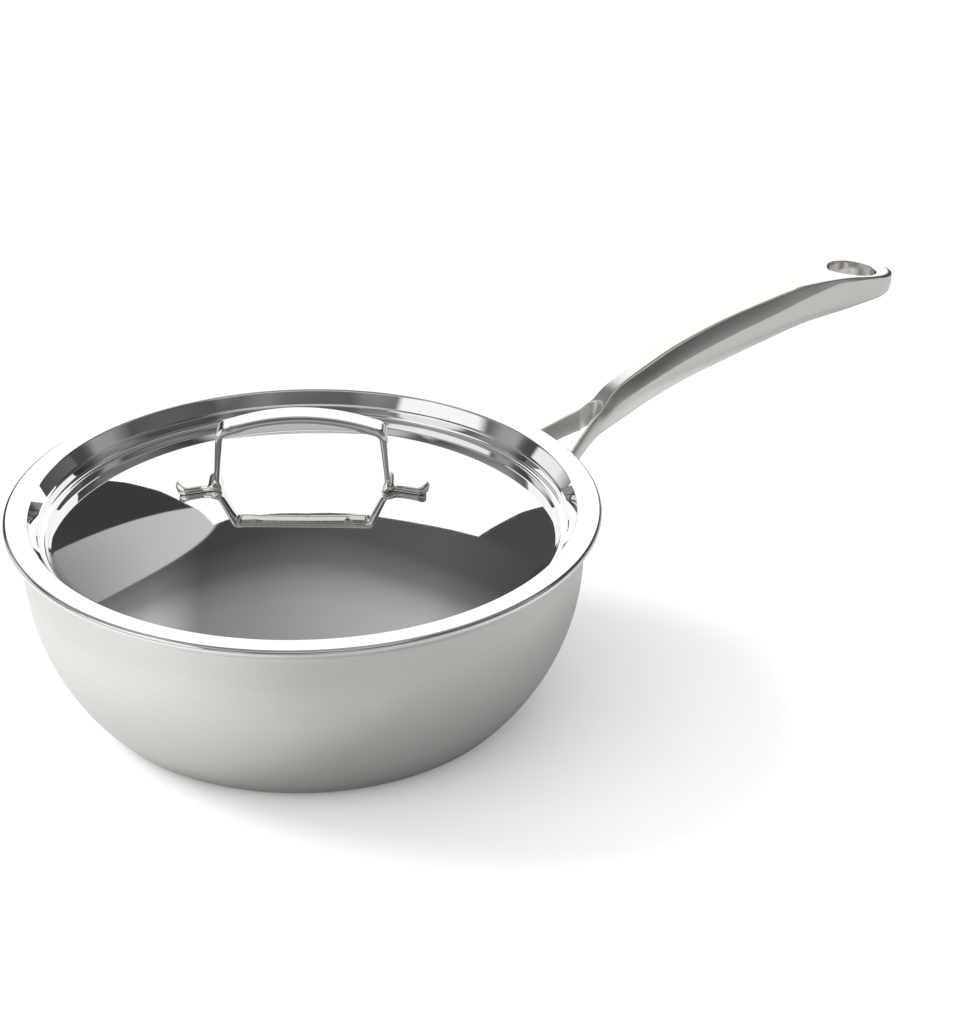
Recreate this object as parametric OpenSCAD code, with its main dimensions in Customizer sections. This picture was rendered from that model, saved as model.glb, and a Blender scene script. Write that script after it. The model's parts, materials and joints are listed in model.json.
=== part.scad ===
// Saucier pan with its lid.
// The origin is the centre of the base's underside, +Z is up and +X runs along the long handle.
// All sizes are in millimetres.

/* [Pan] */
// Outside radius of the wall where it stands straight
wall_r = 118.7; // [112:0.1:122]
// Height of the rim above the table
rim_h = 86.3; // [84:0.1:90]
// Radius of the belly's round side
belly_r = 95; // [90:1:98]
// Height above the table at which the belly turns straight
belly_h = 68.3; // [66:0.1:70]
// Radius of the turn from belly to base
corner_r = 8; // [6:0.5:10]
// Radius under the flared pouring lip
lip_r = 5.5; // [4:0.1:6]

/* [Plies] */
// Thickness of the outer magnetic steel ply
outer_steel_t = 0.5; // [0.4:0.1:0.8]
// Thickness of each soft aluminium bonding ply
bond_t = 0.4; // [0.3:0.1:0.6]
// Thickness of the aluminium alloy core
core_t = 1; // [0.8:0.1:1.4]
// Thickness of the inner stainless ply
inner_steel_t = 0.4; // [0.3:0.1:0.6]

/* [Lid] */
// Outside radius of the lid's flange
lid_r = 126; // [125.8:0.1:128]
// Thickness of the lid's sheet
lid_t = 0.9; // [0.7:0.1:1]
// Height of the dome's top above the flange
dome_h = 11.5; // [10.5:0.1:12.5]
// Radius of the ball whose cap is the dome's crown
crown_ball = 231; // [225:1:240]
// Radius at which the crown turns into the dome's outer part
crown_r = 40; // [36:1:44]
// Radius at which the dome meets its groove
dome_r = 107.3; // [106.5:0.1:107.5]
// Depth of the groove below the flange
groove_h = 10.5; // [10:0.1:11.5]
// Gap between the closed lid and the rim
seat_gap = 0.3; // [0.3:0.1:0.6]
// Turn of the lid on the pan, as it lies in the photograph
lid_turn = -32; // [-180:1:180]

/* [Welds] */
// Gap between each welded piece and the sheet that it is welded to
weld_gap = 0.3; // [0.2:0.1:0.5]
// Radius of a weld
weld_r = 2.4; // [1.5:0.1:2.6]

/* [Lid handle] */
// Height of the strap's top above the flange
strap_h = 43; // [40:1:48]
// Width of the strap
strap_w = 11; // [9:0.5:13]
// Rise of the strap's arch from its corners to its middle
strap_rise = 6.5; // [4:0.5:8]
// Thickness of the strap at its middle
strap_t = 4.2; // [3.5:0.1:5]

/* [Long handle] */
// Length of the handle from the wall to its end
handle_l = 191.5; // [188:0.5:192]
// How far the rounded end's top edge is set in from the outline
nose_inset = 5; // [3:0.1:6]
// Radius of the hanging hole's round end
hole_r = 10.2; // [8:0.1:10.4]
// Distance from the wall to the centre of the hole's round end
hole_x = 172.8; // [171:0.1:174]
// Length from that centre to the hole's point
hole_l = 14.5; // [14:0.1:20]
// Radius of the fork's closed end
fork_r = 4.3; // [3.5:0.1:4.4]
// Distance from the wall to the centre of the fork's closed end
fork_x = 26.5; // [25:0.1:27]
// Half of the angle between the two prongs
fork_a = 24; // [20:1:25]

/* [Hidden] */

$fn = 96;
steel = [0.78, 0.78, 0.78];
polished = [0.86, 0.87, 0.88];
alloy = [0.70, 0.71, 0.73];

wall_t = outer_steel_t + bond_t + core_t + bond_t + inner_steel_t;
lip_x = wall_r + lip_r;
lip_z = rim_h - lip_r - wall_t;
corner_a = asin((belly_h - corner_r) / (belly_r - corner_r));
base_r = wall_r - belly_r + (belly_r - corner_r) * cos(corner_a);
lid_z = rim_h + seat_gap + lid_t;

// A point at angle a on the circle of radius r round c.
function polar(c, r, a) = c + r * [cos(a), sin(a)];

// Points from angle a0 to a1 on the circle of radius r round c, in n steps.
function arc(c, r, a0, a1, n) = [for (i = [0 : n]) polar(c, r, a0 + (a1 - a0) * i / n)];

function reversed(p) = [for (i = [len(p) - 1 : -1 : 0]) p[i]];

// The line of the pan's wall at depth d under its outer face, from the axis to the lip's edge.
function wall_line(d) = concat(
    [[0, d]],
    arc([base_r, corner_r], corner_r - d, -90, -corner_a, 5),
    arc([wall_r - belly_r, belly_h], belly_r - d, -corner_a, 0, 14),
    arc([lip_x, lip_z], lip_r + d, 180, 90, 7));

// One ply of the pan, between two depths under its outer face.
module ply(d0, d1) {
    rotate_extrude() polygon(concat(wall_line(d0), reversed(wall_line(d1))));
}

// Everything within a distance d outside the pan's outer face.
module pan_block(d) {
    rotate_extrude() polygon(concat(wall_line(-d), [[lip_x, rim_h], [0, rim_h]]));
}

bond_d = outer_steel_t;
core_d = bond_d + bond_t;
inner_bond_d = core_d + core_t;
inner_steel_d = inner_bond_d + bond_t;

module outer_steel_ply() { color(steel) ply(0, bond_d); }
module outer_bond_ply() { color(alloy) ply(bond_d, core_d); }
module alloy_core_ply() { color(alloy) ply(core_d, inner_bond_d); }
module inner_bond_ply() { color(alloy) ply(inner_bond_d, inner_steel_d); }
module inner_steel_ply() { color(steel) ply(inner_steel_d, wall_t); }

// A corner b between a and c, rounded with radius r: each entry is a point and the left-hand normal there.
function bend(a, b, c, r, n = 5) =
    let (u = (b - a) / norm(b - a), v = (c - b) / norm(c - b),
         turn = atan2(u[0] * v[1] - u[1] * v[0], u * v),
         side = sign(turn),
         start = b - u * r * tan(abs(turn) / 2),
         nu = [-u[1], u[0]],
         centre = start + nu * r * side,
         a0 = atan2(start[1] - centre[1], start[0] - centre[0]))
    [for (i = [0 : n]) let (p = polar(centre, r, a0 + turn * i / n)) [p, (centre - p) / r * side]];

// The dome's line is two arcs that meet smoothly: the crown, and an outer part that ends over the groove.
dome_end = [dome_r, 0.8 - groove_h];
crown_a = asin(crown_r / crown_ball);
crown_c = [0, dome_h - crown_ball];
crown_end = polar(crown_c, crown_ball, 90 - crown_a);
chord = dome_end - crown_end;
outer_turn = 2 * (atan2(-chord[1], chord[0]) - crown_a);
outer_ball = norm(chord) / (2 * sin(outer_turn / 2));
outer_c = crown_end - outer_ball * [sin(crown_a), cos(crown_a)];
dome_face = concat(
    [for (i = [0 : 5]) let (a = 90 - crown_a * i / 5) [polar(crown_c, crown_ball, a), [cos(a), sin(a)]]],
    [for (i = [1 : 9]) let (a = 90 - crown_a - outer_turn * i / 9)
        [polar(outer_c, outer_ball, a), [cos(a), sin(a)]]]);

// The lid's upper face from the axis to its edge, in radius and height over the flange.
groove_in = [dome_r + 1.5, -groove_h];
groove_out = [110.9, -groove_h];
step_low = [111.5, -6.4];
step_high = [112.3, -5.7];
flange_in = [116, 0];
lid_face = concat(
    dome_face,
    bend(dome_end, groove_in, groove_out, 2, 3),
    bend(groove_in, groove_out, step_low, 1.6, 6),
    bend(groove_out, step_low, step_high, 1.2, 4),
    bend(step_low, step_high, flange_in, 0.8, 3),
    bend(step_high, flange_in, [lid_r, 0], 1.6, 5),
    bend(flange_in, [lid_r, 0], [lid_r, -3], 1.4, 6),
    [[[lid_r, -2.2], [1, 0]]]);

// One pressed sheet: dome, groove, stepped wall, flat flange and turned-down edge.
module lid_shell() {
    color(polished) translate([0, 0, lid_z])
        rotate_extrude() polygon(concat(
            [for (e = lid_face) e[0]],
            reversed([for (e = lid_face) e[0] - lid_t * e[1]])));
}

// The height and the slope of the lid's upper face at a distance r from the axis, within the dome.
function dome_slope(r) = r < crown_r ? asin(r / crown_ball) : asin((r - outer_c[0]) / outer_ball);
function dome_z(r) = r < crown_r ? crown_c[1] + crown_ball * cos(dome_slope(r))
                                 : outer_c[1] + outer_ball * cos(dome_slope(r));

// The points of a rounded corner without their normals.
function rounded(a, b, c, r, n = 5) = [for (e = bend(a, b, c, r, n)) e[0]];

// Half of the lid handle's side outline: strap, corner, leg and a foot whose tip curls up.
corner_x = 33.6;
arch_r = (corner_x * corner_x + strap_rise * strap_rise) / (2 * strap_rise);
arch_c = [0, strap_h - arch_r];
arch_a = asin(30 / arch_r);
corner_top = [35.4, strap_h - 6.6];
ankle_out = [36.9, dome_z(37) + 3.1];
toe_top = [49, dome_z(49) + 3.1];
toe_tip = [52.4, dome_z(52) + 5.2];
toe_end = [53.4, dome_z(52) + 3.4];
toe_under = [52, dome_z(52)];
heel = [33.4, dome_z(33.4) - 1];
ankle_in = [34.5, dome_z(34) + 3];
corner_low = [32.3, strap_h - 10.2];
corner_in = [23.4, strap_h - 9];
handle_half = concat(
    arc(arch_c, arch_r, 90, 90 - arch_a, 8),
    rounded(polar(arch_c, arch_r, 90 - arch_a), corner_top, ankle_out, 5, 5),
    rounded(corner_top, ankle_out, toe_top, 3.5, 5),
    rounded(ankle_out, toe_top, toe_tip, 4, 4),
    [toe_tip],
    rounded(toe_end, toe_under, heel, 2.5, 4),
    [heel],
    rounded(heel, ankle_in, corner_low, 3, 4),
    rounded(ankle_in, corner_low, corner_in, 3.2, 5),
    arc(arch_c, arch_r - strap_t, 90 - 0.8 * arch_a, 90, 6));

// Half of the plan outline: the strap's edge, the wider ankle and the round toe.
ankle_w = strap_w * 0.62;
toe_w = strap_w * 0.42;
toe_x = 48.5;
plan_half = concat(
    [[0, strap_w / 2], [30.5, strap_w / 2], [34, ankle_w], [38, ankle_w]],
    arc([toe_x, 0], toe_w, 78, -78, 16),
    [[38, -ankle_w], [34, -ankle_w], [30.5, -strap_w / 2], [0, -strap_w / 2]]);

// A half outline joined with its own mirror image across the second axis.
function both_sides(p) = concat(p, [for (i = [len(p) - 2 : -1 : 1]) [-p[i][0], p[i][1]]]);

// Everything under the lid's dome, grown by d.
module dome_block(d) {
    rotate_extrude() polygon(concat(
        [for (e = dome_face) e[0] + d * e[1]],
        [[dome_r, -groove_h], [0, -groove_h]]));
}

module lid_handle() {
    color(polished) translate([0, 0, lid_z]) rotate([0, 0, lid_turn]) difference() {
        intersection() {
            rotate([90, 0, 0]) linear_extrude(2 * strap_w, center = true) polygon(both_sides(handle_half));
            linear_extrude(strap_h + 10) polygon(both_sides(plan_half));
        }
        dome_block(weld_gap);
    }
}

// Welds that fill the gap between the feet and the lid's sheet, two under each foot.
module lid_welds() {
    color(steel) translate([0, 0, lid_z]) rotate([0, 0, lid_turn]) difference() {
        intersection() {
            for (s = [-1, 1], x = [37.5, 45.5])
                translate([s * x, 0, dome_z(x)]) rotate([0, s * dome_slope(x), 0])
                    cylinder(r = weld_r, h = 2, center = true, $fn = 32);
            dome_block(weld_gap);
        }
        dome_block(0);
    }
}

// The long handle's stations. Each one holds: distance from the wall, height of the top over the rim,
// height of the underside over the rim, half width of the top, greatest half width, half width of the
// underside, and where the greatest width lies between underside (0) and top (1).
stations = [
    [-8, -10.6, -17.4, 21.3, 22.6, 21, 0.5],
    [9, -1.3, -9.5, 13.7, 14.9, 13.2, 0.5],
    [21, 5.3, -3.6, 8.4, 9.6, 8.1, 0.5],
    [28, 9, -1, 5.7, 7.2, 6, 0.48],
    [31.2, 11.4, 0.2, 4.9, 7, 5.7, 0.47],
    [35.5, 15.9, 1.7, 4.2, 6.85, 5.4, 0.45],
    [40.5, 19.2, 3.4, 3.8, 6.8, 5.2, 0.44],
    [53, 24.6, 8.4, 3.5, 7.2, 5.4, 0.5],
    [71, 31.8, 14.4, 4, 7.8, 6, 0.46],
    [93, 38, 19.4, 4.8, 8.4, 6.5, 0.47],
    [116, 42.8, 24.4, 6.3, 9.4, 7.5, 0.5],
    [137, 46.7, 28.9, 8.9, 10.9, 9, 0.53],
    [156, 47.5, 31.1, 12, 12.9, 10.9, 0.68],
    [173, 45, 32.7, 12.2, 13.3, 11.6, 0.86],
    [192, 41.8, 34.5, 12.2, 13.3, 11.6, 0.86]];

// Column k of the stations at x, as a smooth cubic through its neighbours.
function slope(k, i) = let (a = max(i - 1, 0), b = min(i + 1, len(stations) - 1))
    (stations[b][k] - stations[a][k]) / (stations[b][0] - stations[a][0]);
function station_at(x) = max([for (i = [0 : len(stations) - 2]) if (stations[i][0] <= x) i]);
function along(k, x) =
    let (i = station_at(x), w = stations[i + 1][0] - stations[i][0], t = (x - stations[i][0]) / w)
    (2 * t * t * t - 3 * t * t + 1) * stations[i][k]
    + (t * t * t - 2 * t * t + t) * w * slope(k, i)
    + (3 * t * t - 2 * t * t * t) * stations[i + 1][k]
    + (t * t * t - t * t) * w * slope(k, i + 1);

// The half width w at x of a line that ends in a half circle of radius r at the far end.
function rounded_width(w, r, x, end) =
    let (t = max(0, (x - end + r) / r)) w * sqrt(max(0, 1 - t * t));

// The handle's section at x. Over its widest line each side leans in and meets the flat top in a crisp
// edge. Under it the side drops almost straight and then turns under. Each line from root to nose has its
// own length, so the nose leans in the same way.
side_steps = 4;
nose_r = 13.3;
under_inset = 1.5;
function section(x) =
    let (reach = max(0, x) / handle_l,
         x_top = x - nose_inset * reach, x_low = x - under_inset * reach,
         top = along(1, x_top), low = along(2, x_low),
         a = rounded_width(along(3, x_top), nose_r, x, handle_l),
         b = rounded_width(along(4, x), nose_r, x, handle_l),
         c = rounded_width(along(5, x_low), nose_r, x, handle_l),
         mid = low + along(6, x) * (top - low),
         right = concat(
             [for (i = [0 : side_steps]) let (t = i / side_steps, out = sin(90 * t))
                 [x_top + (x - x_top) * out, a + (b - a) * out, top + (mid - top) * t]],
             [for (i = [1 : side_steps]) let (t = i / side_steps, out = sqrt(1 - t * t * t))
                 [x_low + (x - x_low) * out, c + (b - c) * out, mid + (low - mid) * t]]))
    concat(right, [for (p = reversed(right)) [p[0], -p[1], p[2]]]);

// The solid bar through all sections, before it is forked and pierced.
bar_start = -8;
bar_rings = 40;
nose_rings = 7;
nose_last = 88;
module handle_bar() {
    nose_start = handle_l - nose_r;
    xs = concat([for (i = [0 : bar_rings - 1]) bar_start + (nose_start - bar_start) * i / bar_rings],
                [for (i = [0 : nose_rings]) nose_start + nose_r * sin(nose_last * i / nose_rings)]);
    rings = len(xs);
    n = 4 * side_steps + 2;
    points = [for (x = xs) each section(x)];
    sides = [for (i = [0 : rings - 2], j = [0 : n - 1])
        let (k = (j + 1) % n, a = i * n + j, b = i * n + k, c = a + n, d = b + n)
        each [[a, b, d], [a, d, c]]];
    root_cap = [[for (j = [n - 1 : -1 : 0]) j]];
    end_cap = [for (j = [0 : n / 2 - 2]) let (a = (rings - 1) * n)
        [a + j, a + j + 1, a + n - 2 - j, a + n - 1 - j]];
    polyhedron(points, concat(sides, root_cap, end_cap), convexity = 6);
}

// The teardrop hole's plan: a round end, and two arcs that leave it at its widest and meet in a point.
tear_r = (hole_l * hole_l + hole_r * hole_r) / (2 * hole_r);
tear_a = asin(hole_l / tear_r);
module teardrop() {
    polygon(concat(
        arc([0, 0], hole_r, -90, 90, 24),
        arc([0, hole_r - tear_r], tear_r, 90, 90 + tear_a, 12),
        arc([0, tear_r - hole_r], tear_r, 270 - tear_a, 270, 12)));
}

// The fork's plan: a round closed end, and straight sides that open towards the wall.
module fork_gap() {
    reach = 45;
    spread = fork_r / cos(fork_a) + reach * tan(fork_a);
    circle(r = fork_r, $fn = 48);
    polygon([polar([0, 0], fork_r, 90 + fork_a), [-reach, spread], [-reach, -spread],
             polar([0, 0], fork_r, -90 - fork_a)]);
}

// Round pads at the ends of the prongs, which lie along the wall.
pad_a = 9.3;
pad_z = rim_h - 12.7;
pad_r = 6.6;
pad_t = 2.4;
module pads() {
    intersection() {
        for (s = [-1, 1]) rotate([0, 0, s * pad_a]) translate([wall_r - 2, 0, pad_z])
            rotate([0, 90, 0]) cylinder(r = pad_r, h = 10);
        cylinder(r = wall_r + pad_t, h = rim_h);
    }
}

module long_handle() {
    color(polished) difference() {
        union() {
            translate([wall_r, 0, rim_h]) difference() {
                handle_bar();
                translate([hole_x, 0, 0]) linear_extrude(100) teardrop();
                translate([fork_x, 0, -50]) linear_extrude(100) fork_gap();
            }
            pads();
        }
        pan_block(weld_gap);
    }
}

// Welds that fill the gap between the pads and the pan's wall, two behind each pad.
module handle_welds() {
    color(steel) difference() {
        intersection() {
            for (s = [-1, 1], dz = [-3, 3]) rotate([0, 0, s * pad_a]) translate([wall_r, 0, pad_z + dz])
                rotate([0, 90, 0]) cylinder(r = weld_r, h = 2, center = true, $fn = 32);
            pan_block(weld_gap);
        }
        pan_block(0);
    }
}

outer_steel_ply();
outer_bond_ply();
alloy_core_ply();
inner_bond_ply();
inner_steel_ply();
long_handle();
handle_welds();
lid_shell();
lid_handle();
lid_welds();
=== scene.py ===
# %% [markdown]
# # A saucier pan with its lid
#
# The pan is five sheets of metal pressed into one rounded bowl, with a cast handle welded to its wall. The
# lid is one pressed sheet with a cast strap. Everything here is steel, so shape and reflections do all the
# work: smooth surfaces with exact curves, a few crisp edges, and finishes that differ from mirror to satin.
#
# The sizes are known already, because a solid model was built first. It is loaded as a fixed frame, and
# each finer surface made here takes the place of one of its parts.

# %% Load the solid model
import json
import math

import bmesh
import bpy
import numpy as np
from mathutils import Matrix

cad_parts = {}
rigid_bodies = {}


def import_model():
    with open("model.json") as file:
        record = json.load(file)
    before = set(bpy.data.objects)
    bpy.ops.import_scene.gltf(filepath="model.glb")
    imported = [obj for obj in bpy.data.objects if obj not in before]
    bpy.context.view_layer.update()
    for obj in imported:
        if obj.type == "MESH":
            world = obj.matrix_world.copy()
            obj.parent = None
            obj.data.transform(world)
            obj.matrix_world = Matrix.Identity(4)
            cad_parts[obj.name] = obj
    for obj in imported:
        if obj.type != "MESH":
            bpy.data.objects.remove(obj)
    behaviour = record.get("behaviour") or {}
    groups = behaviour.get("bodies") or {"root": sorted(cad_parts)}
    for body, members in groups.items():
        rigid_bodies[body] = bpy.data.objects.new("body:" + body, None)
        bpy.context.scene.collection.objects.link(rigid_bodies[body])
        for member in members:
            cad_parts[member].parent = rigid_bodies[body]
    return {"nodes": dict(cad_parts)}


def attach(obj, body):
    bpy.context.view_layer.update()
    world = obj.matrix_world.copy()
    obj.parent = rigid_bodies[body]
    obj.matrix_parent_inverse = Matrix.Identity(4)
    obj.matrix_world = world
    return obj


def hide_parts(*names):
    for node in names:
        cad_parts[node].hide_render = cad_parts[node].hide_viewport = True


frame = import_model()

bpy.context.scene.view_settings.view_transform = "Standard"
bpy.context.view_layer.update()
print("parts:", ", ".join(frame["nodes"]))

# %% [markdown]
# ## The camera
#
# A long lens from above, looking down by 27 degrees and turned by 32 degrees from the line across the
# handle. A long lens flattens perspective, as product photographs do.

# %% Place the camera
LOOK_DOWN = 27
LOOK_TURN = 32
camera = bpy.data.objects.new("camera", bpy.data.cameras.new("camera"))
bpy.context.scene.collection.objects.link(camera)
camera.location = (-0.53585, -0.99706, 0.65932)
camera.rotation_euler = (math.radians(90 - LOOK_DOWN), 0, math.radians(-LOOK_TURN))
camera.data.sensor_fit = "VERTICAL"
camera.data.sensor_height = 36
camera.data.lens = 105.47
bpy.context.scene.camera = camera
print("camera", round(camera.location.length, 3), "m from the pan's base")

# %% [markdown]
# ## Helpers for colours and nodes
#
# Colours are easiest to judge as the hex values of a picture, but light adds up linearly, so one function
# turns a hex value to linear light. A material is a small graph of nodes. One helper adds any kind of node,
# sets its own properties and fills or links its inputs.

# %% Define the helpers
def linear(hex_colour):
    """sRGB to linear: c / 12.92 up to 0.04045, and ((c + 0.055) / 1.055) to the power 2.4 above it."""
    c = np.array([int(hex_colour[i:i + 2], 16) for i in (1, 3, 5)]) / 255
    return (*np.where(c <= 0.04045, c / 12.92, ((c + 0.055) / 1.055) ** 2.4).tolist(), 1.0)


def add(tree, kind, inputs=None, **settings):
    """Adds one node. An input is a value, or another node's output to link."""
    made = tree.nodes.new("ShaderNode" + kind)
    for key, value in settings.items():
        setattr(made, key, value)
    for key, value in (inputs or {}).items():
        if isinstance(value, bpy.types.NodeSocket):
            tree.links.new(value, made.inputs[key])
        else:
            made.inputs[key].default_value = value
    return made


print("mid grey #808080 is", round(linear("#808080")[0], 3), "in linear light")

# %% [markdown]
# ## The studio
#
# Polished steel has no look of its own: it shows the room. The room here is a plain product studio. A white
# sweep stands behind the object, the space beside it is dark, a soft grey panel hangs at the left, and a
# diffusing ceiling gets brighter over the object. This could be built from many cards, but a world shader
# that gives each direction its brightness is lighter and never stands in the camera's way. The camera
# itself sees plain white behind the object.
#
# Two angles describe a direction well. The lift runs from the back horizon (0) over the top to the horizon
# behind the camera (180). The swing runs from -90 at the left to 90 at the right.

# %% Measure directions
turn = math.radians(LOOK_TURN)
TO_RIGHT = (math.cos(turn), -math.sin(turn), 0)
TO_BACK = (math.sin(turn), math.cos(turn), 0)

world = bpy.data.worlds.new("studio")
bpy.context.scene.world = world
world.use_nodes = True
sky = world.node_tree
sky.nodes.clear()
direction = add(sky, "TexCoord").outputs["Generated"]
across, back, up = (add(sky, "VectorMath", {0: direction, 1: axis}, operation="DOT_PRODUCT").outputs["Value"]
                    for axis in (TO_RIGHT, TO_BACK, (0, 0, 1)))
lift_turn = add(sky, "Math", {0: up, 1: back}, operation="ARCTAN2").outputs[0]
lift = add(sky, "Math", {0: lift_turn, 1: 180 / math.pi}, operation="MULTIPLY").outputs[0]
swing_turn = add(sky, "Math", {0: across}, operation="ARCSINE").outputs[0]
swing = add(sky, "Math", {0: swing_turn, 1: 180 / math.pi}, operation="MULTIPLY").outputs[0]
print("right is", np.round(TO_RIGHT, 3), "and back is", np.round(TO_BACK, 3))

# %% [markdown]
# Three helpers are enough to paint with these angles: a band with soft edges, a rectangle made of two such
# bands, and a brightness that runs through a few stops.

# %% Define soft bands, windows and ramps
def between(value, low, high, soft=2.0):
    """1 where value lies from low to high, falling to 0 over a few degrees on both sides."""
    rise = add(sky, "MapRange", {"Value": value, "From Min": low - soft, "From Max": low + soft},
               interpolation_type="SMOOTHSTEP").outputs[0]
    fall = add(sky, "MapRange", {"Value": value, "From Min": high + soft, "From Max": high - soft},
               interpolation_type="SMOOTHSTEP").outputs[0]
    return add(sky, "Math", {0: rise, 1: fall}, operation="MULTIPLY").outputs[0]


def window(lifts, swings, soft_lift, soft_swing):
    """1 in a rectangle of directions, from its lifts and its swings."""
    tall, wide = between(lift, *lifts, soft_lift), between(swing, *swings, soft_swing)
    return add(sky, "Math", {0: tall, 1: wide}, operation="MULTIPLY").outputs[0]


def ramp(value, low, high, stops):
    """A brightness that goes in straight lines through (degrees, brightness) stops."""
    share = add(sky, "MapRange", {"Value": value, "From Min": low, "From Max": high}).outputs[0]
    made = add(sky, "ValToRGB", {"Fac": share})
    points = made.color_ramp.elements
    while len(points) < len(stops):
        points.new(0.5)
    for point, (degrees, bright) in zip(points, stops):
        point.position = (degrees - low) / (high - low)
        point.color = (bright, bright, bright, 1)
    return made.outputs[0]


print("the helpers have added", len(sky.nodes), "nodes so far")

# %% [markdown]
# The room is painted from the farthest layer to the nearest. The ceiling comes first, then dark flags beside
# the sweep, a soft box over the camera and a darker strip under it, a side lamp behind the left shoulder,
# the white sweep, and the grey panel with round corners. The stops were chosen so that the lid's dome shows
# a white field, two dark lobes and a grey gradient, as in the photograph.

# %% Paint the room
SWEEP, FRONT_BOX, DARK_STRIP, SIDE_LAMP = 1.35, 0.65, 0.125, 1.15
PANEL_LIFT, PANEL_SWING, PANEL_HALF, PANEL_POWER = 37.6, -30, (10.6, 16.3), 2.6


def grey(bright):
    return (bright, bright, bright, 1)


ceiling = ramp(lift, 0, 180, [(0, 0.05), (37, 0.09), (47, 0.095), (53.1, 0.17), (56.8, 0.32), (60.4, 0.41),
                              (64, 0.43), (80, 0.40), (98, 0.12), (135, 0.22), (150, 0.28), (165, 0.36),
                              (180, 0.42)])
sides = ramp(swing, -90, 90, [(-90, 1.0), (-49, 0.9), (-37, 0.6), (-25, 1.5), (-20, 1.6), (-15, 0.65),
                              (-8, 0.76), (0, 1.0), (13, 1.3), (24, 0.7), (34, 0.5), (53, 0.8), (90, 1.0)])
room = add(sky, "Mix", {0: 1.0, 6: ceiling, 7: sides}, data_type="RGBA", blend_type="MULTIPLY").outputs[2]
flags = ramp(swing, -90, 90, [(-90, 1.1), (-50, 1.0), (-38, 0.1), (-23, 0.05), (-14, 0.05), (14, 0.075),
                              (40, 0.08), (60, 0.16), (90, 0.25)])
panel = ramp(swing, -90, 90, [(-34, 0.22), (-27, 0.33), (-20, 0.58), (-13, 0.7)])

powers = []
for angle, middle, half in ((lift, PANEL_LIFT, PANEL_HALF[0]), (swing, PANEL_SWING, PANEL_HALF[1])):
    off = add(sky, "Math", {0: angle, 1: middle}, operation="SUBTRACT").outputs[0]
    share = add(sky, "Math", {0: off, 1: half}, operation="DIVIDE").outputs[0]
    size = add(sky, "Math", {0: share}, operation="ABSOLUTE").outputs[0]
    powers.append(add(sky, "Math", {0: size, 1: PANEL_POWER}, operation="POWER").outputs[0])
off_panel = add(sky, "Math", {0: powers[0], 1: powers[1]}, operation="ADD").outputs[0]

for layer, mask in ((flags, between(lift, -10, 35.4, 2.3)),
                    (grey(FRONT_BOX), window((104, 129), (-30, 30), 4, 4)),
                    (grey(DARK_STRIP), window((135, 158), (-60, 14), 5, 8)),
                    (grey(SIDE_LAMP), window((100, 200), (-100, -33), 6, 1.5)),
                    (grey(SWEEP), window((-10, 35.0), (-12.0, 13.2), 0.6, 0.6)),
                    (panel, between(off_panel, -1, 1, 0.05))):
    room = add(sky, "Mix", {0: mask, 6: room, 7: layer}, data_type="RGBA").outputs[2]

is_camera = add(sky, "LightPath").outputs["Is Camera Ray"]
sky_out = add(sky, "OutputWorld")
studio_light = add(sky, "Background", {"Color": room, "Strength": 1.0})
white_back = add(sky, "Background", {"Color": (1, 1, 1, 1), "Strength": 1.0})
both = add(sky, "MixShader", {0: is_camera, 1: studio_light.outputs[0], 2: white_back.outputs[0]})
sky.links.new(both.outputs[0], sky_out.inputs[0])
print("the room is a graph of", len(sky.nodes), "nodes")

# %% [markdown]
# The table is a white board. To the camera it also glows a little, so that it stays white away from the
# object's shadow. Reflections see its colour with painted light and shade, by how far from the pan and how
# far
# to the right a place lies: painted shade close to the pan, farther out and to its right, and painted light
# to the left and far to the right. It stands in for a studio's board that isn't lit evenly, and the brushed
# wall shows that as its slow change of grey.

# %% Lay the table
def plain_material(name):
    made = bpy.data.materials.new(name)
    made.use_nodes = True
    made.node_tree.nodes.clear()
    return made


GLOW = 0.17
table_paint = plain_material("white_board")
tree = table_paint.node_tree
grain = add(tree, "TexNoise", {"Vector": add(tree, "TexCoord").outputs["Object"], "Scale": 60.0})
shade = add(tree, "ValToRGB", {"Fac": grain.outputs["Fac"]})
shade.color_ramp.elements[0].color = linear("#EAEAEA")
shade.color_ramp.elements[1].color = linear("#EDEDED")
rays = add(tree, "LightPath")
spot = add(tree, "TexCoord").outputs["Object"]
far = add(tree, "VectorMath", {0: spot}, operation="LENGTH")
aside = add(tree, "VectorMath", {0: spot, 1: TO_RIGHT}, operation="DOT_PRODUCT")
# Painted shade farther from the pan, painted light to the left and painted shade to the right, and painted
# light again far to the right.
fall = add(tree, "MapRange", {"Value": far.outputs["Value"], "From Min": 0.24, "From Max": 0.38,
                              "To Min": 1.0, "To Max": 0.45}, interpolation_type="SMOOTHSTEP")
painted_side_light_and_shade = add(tree, "MapRange", {"Value": aside.outputs["Value"], "From Min": -0.15, "From Max": 0.02,
                               "To Min": 1.2, "To Max": 0.74})
painted_far_light = add(tree, "MapRange", {"Value": aside.outputs["Value"], "From Min": 0.2, "From Max": 0.4,
                                "To Min": 1.0, "To Max": 2.0})
near_falls = add(tree, "Math", {0: fall.outputs[0], 1: painted_side_light_and_shade.outputs[0]}, operation="MULTIPLY")
# Painted contact shade: the board's colour darkens close to the pan's base.
painted_contact_shade = add(tree, "MapRange", {"Value": far.outputs["Value"], "From Min": 0.09, "From Max": 0.15,
                               "To Min": 0.88, "To Max": 1.0})
far_falls = add(tree, "Math", {0: near_falls.outputs[0], 1: painted_far_light.outputs[0]}, operation="MULTIPLY")
both_falls = add(tree, "Math", {0: far_falls.outputs[0], 1: painted_contact_shade.outputs[0]}, operation="MULTIPLY")
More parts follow.
